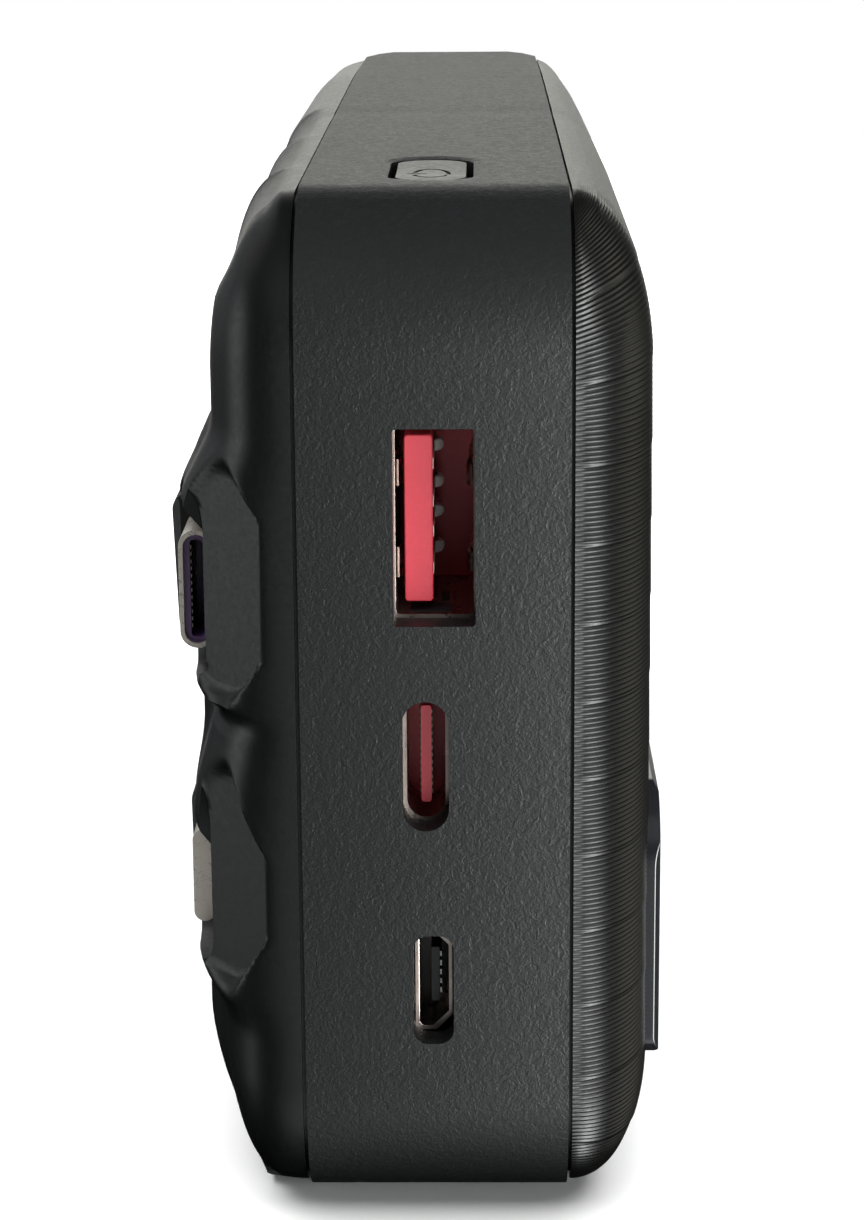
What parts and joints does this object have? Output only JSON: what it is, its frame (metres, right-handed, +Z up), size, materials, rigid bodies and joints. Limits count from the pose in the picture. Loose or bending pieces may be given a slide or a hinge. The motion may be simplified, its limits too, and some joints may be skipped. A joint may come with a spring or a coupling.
{
  "type": "power bank",
  "caption": "Slab-shaped power bank with charging ports on one end, a side power button, a raised display window and built-in leads that stow in a bay on the back.",
  "frame": {"origin": "centre of the middle frame's lower face, on the surface that the object stands on", "axes": "+Z up, along the height of the broad faces; ports face -Y; the ribbed front cover and the window face +X; the back cover with the leads faces -X"},
  "size_m": [0.0339, 0.145, 0.07],
  "materials": {
    "frame_plastic": "fine spark texture, satin",
    "front_plastic": "fine moulded ribs in bands",
    "back_plastic": "smooth fine matte",
    "smoked_window": "smoked gloss",
    "display_white": "matte with pale segments",
    "board_green": "solder mask",
    "ribbon_amber": "polyimide film",
    "screw_steel": "plated",
    "ferrite": "pressed ferrite",
    "chip_black": "moulded",
    "capacitor_can": "drawn can",
    "port_steel": "stamped, plated",
    "port_red": "moulded red",
    "port_black": "moulded",
    "contact_gold": "gold plated",
    "contact_grey": "tin plated",
    "button_plastic": "satin",
    "pouch_foil": "matte laminate",
    "foam_pad": "closed-cell foam",
    "tab_nickel": "nickel strip",
    "wire_red": "silicone",
    "wire_black": "silicone",
    "plug_steel": "drawn, satin plated",
    "plug_violet": "moulded violet",
    "lead_rubber": "soft overmould"
  },
  "bodies": {
    "housing": {"mid_frame": "frame_plastic", "front_cover": "front_plastic", "back_cover": "back_plastic", "display_window": "smoked_window", "display_module": "display_white", "display_board": "board_green", "display_ribbon": "ribbon_amber", "main_board": "board_green", "board_screws": "screw_steel", "power_inductor": "ferrite", "control_chips": "chip_black", "board_capacitors": "capacitor_can", "usb_a_shell": "port_steel", "usb_a_tongue": "port_red", "usb_a_contacts": "contact_gold", "usb_c_shell": "port_steel", "usb_c_tongue": "port_red", "usb_c_contacts": "contact_gold", "micro_usb_shell": "port_steel", "micro_usb_tongue": "port_black", "micro_usb_contacts": "contact_grey", "button_switch": "screw_steel", "front_cell": "pouch_foil", "back_cell": "pouch_foil", "cell_pad": "foam_pad", "cell_tabs": "tab_nickel", "positive_lead": "wire_red", "negative_lead": "wire_black", "type_c_anchor": "lead_rubber", "type_c_ribbon": "ribbon_amber", "slim_anchor": "lead_rubber", "slim_ribbon": "ribbon_amber"},
    "button": {"power_button": "button_plastic", "switch_plunger": "chip_black"},
    "type_c_cable": {"type_c_plug_shell": "plug_steel", "type_c_plug_insert": "plug_violet", "type_c_plug_contacts": "contact_gold", "type_c_plug_boot": "lead_rubber", "type_c_lead": "lead_rubber"},
    "slim_cable": {"slim_plug_tip": "plug_steel", "slim_plug_contacts": "contact_gold", "slim_plug_boot": "lead_rubber", "slim_lead": "lead_rubber"}
  },
  "joints": [
    {"name": "button_press", "type": "slide", "parent": "housing", "child": "button", "axis": [0, 0, -1], "range_m": [0, 0.0004], "stiffness_N_per_m": 5000, "springref_m": -0.00004},
    {"name": "type_c_lift", "type": "hinge", "parent": "housing", "child": "type_c_cable", "pos_m": [-0.01535, 0.0375, 0.0426], "axis": [0, 0, -1], "range_deg": [0, 90]},
    {"name": "slim_lift", "type": "hinge", "parent": "housing", "child": "slim_cable", "pos_m": [-0.01535, 0.0375, 0.0221], "axis": [0, 0, -1], "range_deg": [0, 90]}
  ]
}
